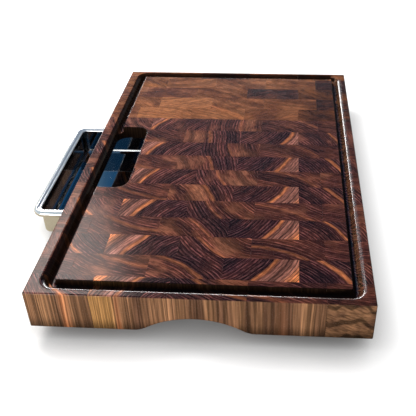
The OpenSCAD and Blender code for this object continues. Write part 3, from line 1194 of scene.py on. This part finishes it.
def pan_section(finish, height):
    """Section of the pan as insets from its outline and heights over its bottom, outside first."""
    sheet, bend, bead = finish.sheet, finish.bend_r, finish.bead_r
    wall, fillet, lip = finish.rim_w, 0.6 * MM, 0.9 * MM
    flat = height - finish.rim_step
    outside = [(wall + bend, 0.0)]
    outside += arc((wall + bend, bend), bend, -90, 0, 6)[1:]
    outside += [(wall, bend + (flat - sheet - bend) * 0.5)]
    outside += [(wall, flat - sheet - fillet), (wall - fillet, flat - sheet)]
    dip = 180 - math.degrees(math.asin((bead - finish.rim_step) / bead))
    outside += arc((bead, height - bead), bead, -165, dip, 32)
    inner_wall = wall + sheet
    inside = [(inner_wall - lip, flat)]
    inside += arc((inner_wall - lip, flat - lip), lip, 90, 180, 4)[1:]
    inner_bend = bend - sheet
    inside += [(inner_wall, bend + (flat - lip - bend) * 0.5)]
    inside += [(inner_wall, bend)]
    inside += arc((inner_wall + inner_bend, bend), inner_bend, 0, -90, 6)[1:]
    return outside + inside


def round_outline(low, high, inset, corner, steps):
    """Corner points of a rounded rectangle set in from a box, counter-clockwise from the right."""
    radius = max(corner - inset, LEAST_CORNER)
    points = []
    for turn, (sx, sy) in enumerate(((1, 1), (-1, 1), (-1, -1), (1, -1))):
        middle_x = (high.x if sx > 0 else low.x) - sx * (inset + radius)
        middle_y = (high.y if sy > 0 else low.y) - sy * (inset + radius)
        for step in range(steps + 1):
            angle = math.pi / 2 * (turn + step / steps)
            points.append((middle_x + radius * math.cos(angle), middle_y + radius * math.sin(angle)))
    return points


class PressPan(bpy.types.Operator):
    """Presses the steel pan: one sheet with a bent bottom and a rolled rim"""

    bl_idname = "board.press_pan"
    bl_label = "Press Pan"

    def execute(self, context):
        finish = context.scene.steel_finish
        low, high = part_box("food_pan")
        work = bmesh.new()
        rings = []
        for inset, height in pan_section(finish, high.z - low.z):
            outline = round_outline(low, high, inset, finish.corner_r, CORNER_STEPS)
            rings.append([work.verts.new((x, y, low.z + height)) for x, y in outline])
        for lower, upper in zip(rings, rings[1:]):
            for i, vertex in enumerate(lower):
                after = (i + 1) % len(lower)
                work.faces.new((vertex, lower[after], upper[after], upper[i]))
        work.faces.new(list(reversed(rings[0])))
        work.faces.new(rings[-1])
        bmesh.ops.recalc_face_normals(work, faces=work.faces)
        inside = work.faces.layers.float.new("inside")
        for face in work.faces:
            face[inside] = self.faces_in(face, low, high, finish)
        steel = pan_material(finish)
        shown("steel_food_pan", work, steel, "pan", ["food_pan"])
        return {"FINISHED"}

    def faces_in(self, face, low, high, finish):
        """How much painted shade a face of the pan gets."""
        middle = face.calc_center_median()
        inward = (low + high) / 2 - middle
        under_rim = middle.z < high.z - finish.rim_step - finish.sheet
        if not under_rim:
            return ON_RIM
        if face.normal.z > 0.9:
            return PAN_FLOOR
        return INNER_WALL if face.normal.xy.dot(inward.xy) > 0 else OUTER_WALL


def lathe(outline, steps):
    """Turned solid about Z from radius and height pairs that start and end on the axis."""
    work = bmesh.new()
    rings = []
    for radius, height in outline:
        if radius == 0.0:
            rings.append([work.verts.new((0.0, 0.0, height))])
            continue
        around = (2 * math.pi * step / steps for step in range(steps))
        rings.append([work.verts.new((radius * math.cos(a), radius * math.sin(a), height)) for a in around])
    for lower, upper in zip(rings, rings[1:]):
        for step in range(steps):
            after = (step + 1) % steps
            corners = [lower[step % len(lower)], lower[after % len(lower)]]
            corners += [upper[after % len(upper)], upper[step % len(upper)]]
            work.faces.new(list(dict.fromkeys(corners)))
    bmesh.ops.recalc_face_normals(work, faces=work.faces)
    return work


def node_places(node):
    """Middle of each solid of a CAD node, at its lowest point."""
    work = node_bmesh(node)
    places = []
    for solid in islands(work):
        x, y, z = (span(solid, axis) for axis in range(3))
        places.append(((x[0] + x[1]) / 2, (y[0] + y[1]) / 2, z[0]))
    work.free()
    return sorted(places)


def cross_recess(work, head_z, size):
    """Sinks a four-armed driver recess into the flat of a turned head that faces down."""
    hub, arm_width, depth = 0.3 * size, 0.6, 0.55 * size
    middle = [v for v in work.verts if v.co.xy.length < size and abs(v.co.z - head_z) < ON_PLANE]
    for vertex in middle:
        out = vertex.co.xy.length
        arm = abs(math.cos(2 * math.atan2(vertex.co.y, vertex.co.x)))
        if arm > arm_width or out < hub:
            vertex.co.z += depth * (1.0 - out / size)


def fastener_tree(name):
    """Geometry Nodes that set one fastener at every place, each turned its own way."""
    tree = bpy.data.node_groups.new(name, "GeometryNodeTree")
    sockets = tree.interface
    sockets.new_socket("Places", in_out="INPUT", socket_type="NodeSocketGeometry")
    sockets.new_socket("Fastener", in_out="INPUT", socket_type="NodeSocketObject")
    sockets.new_socket("Turn Seed", in_out="INPUT", socket_type="NodeSocketInt")
    sockets.new_socket("Finish", in_out="INPUT", socket_type="NodeSocketMaterial")
    sockets.new_socket("Fasteners", in_out="OUTPUT", socket_type="NodeSocketGeometry")
    nodes, link = tree.nodes, tree.links.new
    given = nodes.new("NodeGroupInput")
    made = nodes.new("NodeGroupOutput")
    fetched = nodes.new("GeometryNodeObjectInfo")
    turn = nodes.new("FunctionNodeRandomValue")
    turn.data_type = "FLOAT"
    turn.inputs[3].default_value = 2 * math.pi
    turned = nodes.new("ShaderNodeCombineXYZ")
    placed = nodes.new("GeometryNodeInstanceOnPoints")
    whole = nodes.new("GeometryNodeRealizeInstances")
    dressed = nodes.new("GeometryNodeSetMaterial")
    link(given.outputs["Fastener"], fetched.inputs["Object"])
    link(given.outputs["Turn Seed"], turn.inputs["Seed"])
    link(turn.outputs[1], turned.inputs[2])
    link(given.outputs["Places"], placed.inputs["Points"])
    link(fetched.outputs["Geometry"], placed.inputs["Instance"])
    link(turned.outputs[0], placed.inputs["Rotation"])
    link(placed.outputs[0], whole.inputs[0])
    link(whole.outputs[0], dressed.inputs["Geometry"])
    link(given.outputs["Finish"], dressed.inputs["Material"])
    link(dressed.outputs[0], made.inputs[0])
    return tree


def set_fasteners(name, node, pattern, tree, material, seed):
    """Repeats a turned fastener at every solid of a CAD node, as one plain mesh."""
    pattern_mesh = bpy.data.meshes.new(f"{name}_pattern")
    crease(pattern)
    pattern.to_mesh(pattern_mesh)
    pattern.free()
    model = bpy.data.objects.new(f"{name}_pattern", pattern_mesh)
    points = bpy.data.meshes.new(f"{name}_places")
    points.from_pydata(node_places(node), [], [])
    holder = bpy.data.objects.new(f"{name}_places", points)
    bpy.context.scene.collection.objects.link(holder)
    modifier = holder.modifiers.new("Fasteners", "NODES")
    modifier.node_group = tree
    values = {"Fastener": model, "Turn Seed": seed, "Finish": material}
    for item in tree.interface.items_tree:
        if item.name in values:
            modifier[item.identifier] = values[item.name]
    context = bpy.context
    context.view_layer.update()
    evaluated = holder.evaluated_get(context.evaluated_depsgraph_get())
    mesh = bpy.data.meshes.new_from_object(evaluated)
    mesh.name = name
    holder.modifiers.clear()
    bpy.data.objects.remove(holder)
    bpy.data.objects.remove(model)
    return shown_mesh(name, mesh, material, "board", [node])


class DriveScrews(bpy.types.Operator):
    """Drives the runner screws and the foot screws, and seats the washers"""

    bl_idname = "board.drive_screws"
    bl_label = "Drive Screws"

    def execute(self, context):
        finish = context.scene.hardware_finish
        zinc = zinc_material(finish)
        tree = fastener_tree("set_fasteners")
        seed = finish.turn_seed
        set_fasteners("zinc_runner_screws", "runner_screws", self.runner_screw(), tree, zinc, seed)
        set_fasteners("zinc_foot_screws", "foot_screws", self.foot_screw(), tree, zinc, seed + 1)
        set_fasteners("zinc_foot_washers", "foot_washers", self.washer(), tree, zinc, seed + 2)
        return {"FINISHED"}

    def runner_screw(self):
        """Countersunk wood screw, head down, with a threaded shank."""
        length = self.height("runner_screws")
        head, edge, sunk = 3.8 * MM, 0.15 * MM, 2.0 * MM
        shank, plain, tip = 1.9 * MM, 5.0 * MM, 3.8 * MM
        outline = [(0.0, 0.0)] + [(head * share, 0.0) for share in HEAD_RINGS]
        outline += [(head, 0.0), (head, edge), (shank, sunk)]
        outline += self.thread(shank, plain, length - tip)
        outline += [(0.0, length)]
        work = lathe(outline, 24)
        cross_recess(work, 0.0, head * 0.6)
        return work

    def foot_screw(self):
        """Pan-head screw, head down, with a threaded shank."""
        length = self.height("foot_screws")
        head, tall = 4.0 * MM, 2.8 * MM
        shank, plain, tip = 2.1 * MM, 6.0 * MM, 4.2 * MM
        outline = [(0.0, 0.0)] + [(head * share, 0.0) for share in HEAD_RINGS]
        outline += [(head * 0.8, 0.0), (head * 0.95, 0.5 * MM), (head, 1.3 * MM)]
        outline += [(head, tall), (shank, tall)]
        outline += self.thread(shank, tall + plain, length - tip)
        outline += [(0.0, length)]
        work = lathe(outline, 24)
        cross_recess(work, 0.0, head * 0.6)
        return work

    def washer(self):
        """Flat washer with eased rims."""
        outer, inner, thick, ease = 5.8 * MM, 2.2 * MM, self.height("foot_washers"), 0.2 * MM
        outline = [(inner, ease), (inner + ease, 0.0), (outer - ease, 0.0), (outer, ease)]
        outline += [(outer, thick - ease), (outer - ease, thick)]
        outline += [(inner + ease, thick), (inner, thick - ease)]
        return lathe(outline + outline[:1], 32)

    def height(self, node):
        low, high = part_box(node)
        return high.z - low.z

    def thread(self, shank, start, end):
        """Crests and roots along a shank."""
        pitch, root = 1.6 * MM, 0.78 * shank
        turns = int((end - start) / pitch)
        points = [(shank, start)]
        for turn in range(turns):
            at = start + turn * pitch
            points += [(root, at + 0.3 * pitch), (root, at + 0.6 * pitch), (shank, at + pitch)]
        return points


class MouldFeet(bpy.types.Operator):
    """Moulds the rubber feet, with a rounded base and a hollow for the screw"""

    bl_idname = "board.mould_feet"
    bl_label = "Mould Feet"

    def execute(self, context):
        rubber = rubber_material(context.scene.hardware_finish)
        for node in ("front_left_foot", "front_right_foot", "back_left_foot", "back_right_foot"):
            low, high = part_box(node)
            work = lathe(self.section(high.z - low.z, (high.x - low.x) / 2), 48)
            middle = Vector(((low.x + high.x) / 2, (low.y + high.y) / 2, low.z))
            bmesh.ops.translate(work, verts=work.verts, vec=middle)
            shown(f"rubber_{node}", work, rubber, "board", [node])
        return {"FINISHED"}

    def section(self, height, top_r):
        """Closed section of a foot, from the hollow's mouth outwards and back down the bore."""
        base_r, hollow_r, bore_r, web, round_r = 11.5 * MM, 6.0 * MM, 2.2 * MM, 4.0 * MM, 1.2 * MM
        mouth, collar, step_in = 0.4 * MM, 0.9 * MM, 0.25 * MM
        points = [(hollow_r, mouth), (hollow_r + mouth, 0.0)]
        for step in range(5):
            angle = math.radians(90 * step / 4)
            points.append((base_r - round_r + round_r * math.sin(angle), round_r * (1 - math.cos(angle))))
        points += [(top_r - step_in, height - round_r), (top_r, height - collar), (top_r, height)]
        points += [(bore_r, height), (bore_r, height - web), (hollow_r, height - web)]
        return points + points[:1]


class SetStage(bpy.types.Operator):
    """Sets the pale floor, the soft lamps and the camera"""

    bl_idname = "board.set_stage"
    bl_label = "Set Stage"

    def execute(self, context):
        studio = context.scene.studio_settings
        context.scene.view_settings.view_transform = "Standard"
        self.floor(studio)
        self.sky(context.scene, studio)
        for lamp in LAMPS:
            self.lamp(lamp, getattr(studio, lamp.power))
        self.camera(context.scene, studio)
        return {"FINISHED"}

    def floor(self, studio):
        """A wide floor, white to the camera but for the board's soft shade."""
        mesh = bpy.data.meshes.new("floor")
        corners = [(-1, -1), (1, -1), (1, 1), (-1, 1)]
        points = [(x * FLOOR_REACH, y * FLOOR_REACH, CAD_LOW.z) for x, y in corners]
        mesh.from_pydata(points, [], [(0, 1, 2, 3)])
        sheet = material_sheet("pale_floor")
        path = sheet.add("ShaderNodeLightPath").outputs
        away = sheet.add("ShaderNodeVectorMath", {0: sheet.place()}, operation="LENGTH").outputs["Value"]
        clear = sheet.ease(away, studio.shade_near, studio.shade_far)
        mirrored = sheet.blend(clear, opaque(studio.near_tint), opaque(studio.floor_tint))
        tint = sheet.blend(path["Is Glossy Ray"], opaque(studio.bounce_tint), mirrored)
        tint = sheet.blend(path["Is Camera Ray"], tint, opaque(studio.floor_tint))
        matt = sheet.add("ShaderNodeBsdfDiffuse", {"Color": tint})
        far_glow = sheet.times(path["Is Glossy Ray"], clear, FAR_GLOW)
        seen = sheet.math("MAXIMUM", path["Is Camera Ray"], far_glow)
        open_sky = sheet.add("ShaderNodeAmbientOcclusion", {"Distance": studio.shade_reach}).outputs["AO"]
        lift = sheet.times(seen, studio.floor_lift, sheet.math("POWER", open_sky, SHADE_POWER))
        glow = sheet.add("ShaderNodeEmission", {"Color": WHITE, "Strength": lift})
        both = sheet.add("ShaderNodeAddShader", {0: matt.outputs[0], 1: glow.outputs[0]})
        sheet.finish(both.outputs[0])
        mesh.materials.append(sheet.owner)
        floor = bpy.data.objects.new("floor", mesh)
        bpy.context.scene.collection.objects.link(floor)

    def sky(self, scene, studio):
        """Even soft light, white to the camera, and a blue sky over a white skyline in what shines."""
        scene.world = bpy.data.worlds.new("soft_sky")
        sheet = NodeSheet(scene.world)
        path = sheet.add("ShaderNodeLightPath").outputs
        way = sheet.parts(sheet.add("ShaderNodeTexCoord").outputs["Generated"])
        bands = sheet.bands(way[2], [(place, getattr(studio, tint)) for place, tint in SKY_BANDS])
        leftward = sheet.ease(way[0], *LEFT_SKY)
        paled = sheet.blend(leftward, bands, opaque(studio.pale_tint), "LIGHTEN")
        soft = sheet.add("ShaderNodeBackground", {"Color": WHITE, "Strength": studio.sky_power})
        seen = sheet.add("ShaderNodeBackground", {"Color": WHITE, "Strength": 1.0})
        shine = sheet.add("ShaderNodeBackground", {"Color": paled, "Strength": 1.0})
        mixed = soft.outputs[0]
        for ray, light in (("Is Camera Ray", seen), ("Is Glossy Ray", shine)):
            shares = {0: path[ray], 1: mixed, 2: light.outputs[0]}
            mixed = sheet.add("ShaderNodeMixShader", shares).outputs[0]
        sheet.finish(mixed, "ShaderNodeOutputWorld")

    def lamp(self, lamp, power):
        light = bpy.data.lights.new(lamp.name, "AREA")
        light.shape = "RECTANGLE"
        light.size, light.size_y = lamp.size
        light.spread = lamp.spread
        light.energy = power
        light.color = lamp.tint
        stand = bpy.data.objects.new(lamp.name, light)
        stand.location = lamp.at
        stand.visible_glossy = lamp.shines
        self.aim(stand, lamp.target)
        bpy.context.scene.collection.objects.link(stand)

    def aim(self, item, target):
        """Turns a lamp or the camera to look at a point."""
        way = Vector(target) - item.location
        item.rotation_euler = way.to_track_quat("-Z", "Y").to_euler()

    def camera(self, scene, studio):
        view = bpy.data.cameras.new("photo_camera")
        view.sensor_width = SENSOR_WIDTH
        view.lens = studio.lens
        view.shift_x, view.shift_y = studio.shift_x, studio.shift_y
        view.clip_start = CLIP_START
        camera = bpy.data.objects.new("photo_camera", view)
        camera.location = studio.camera_at
        self.aim(camera, studio.camera_target)
        camera.rotation_euler.rotate_axis("Z", studio.camera_roll)
        scene.collection.objects.link(camera)
        scene.camera = camera


class BoardPanel(bpy.types.Panel):
    """Lists the steps that dress the board"""

    bl_label = "Butcher Block"
    bl_idname = "VIEW3D_PT_butcher_block"
    bl_space_type = "VIEW_3D"
    bl_region_type = "UI"
    bl_category = "Board"

    def draw(self, context):
        for step in STEPS:
            self.layout.operator(step.bl_idname)
        for group in SETTINGS:
            box = self.layout.box()
            settings = getattr(context.scene, group)
            for name in settings.__annotations__:
                box.prop(settings, name)


STEPS = (SetStage, LayStrips, FitRunners, PressPan, DriveScrews, MouldFeet)
SETTINGS = {
    "walnut_finish": WalnutFinish,
    "steel_finish": SteelFinish,
    "hardware_finish": HardwareFinish,
    "studio_settings": StudioSettings,
}
CLASSES = (*SETTINGS.values(), *STEPS, BoardPanel)


def register():
    for item in CLASSES:
        bpy.utils.register_class(item)
    for name, group in SETTINGS.items():
        setattr(bpy.types.Scene, name, PointerProperty(type=group))


def unregister():
    for name in SETTINGS:
        delattr(bpy.types.Scene, name)
    for item in reversed(CLASSES):
        bpy.utils.unregister_class(item)


def main():
    register()
    bpy.ops.board.set_stage()
    bpy.ops.board.lay_strips()
    bpy.ops.board.fit_runners()
    bpy.ops.board.press_pan()
    bpy.ops.board.drive_screws()
    bpy.ops.board.mould_feet()


if __name__ == "__main__":
    main()
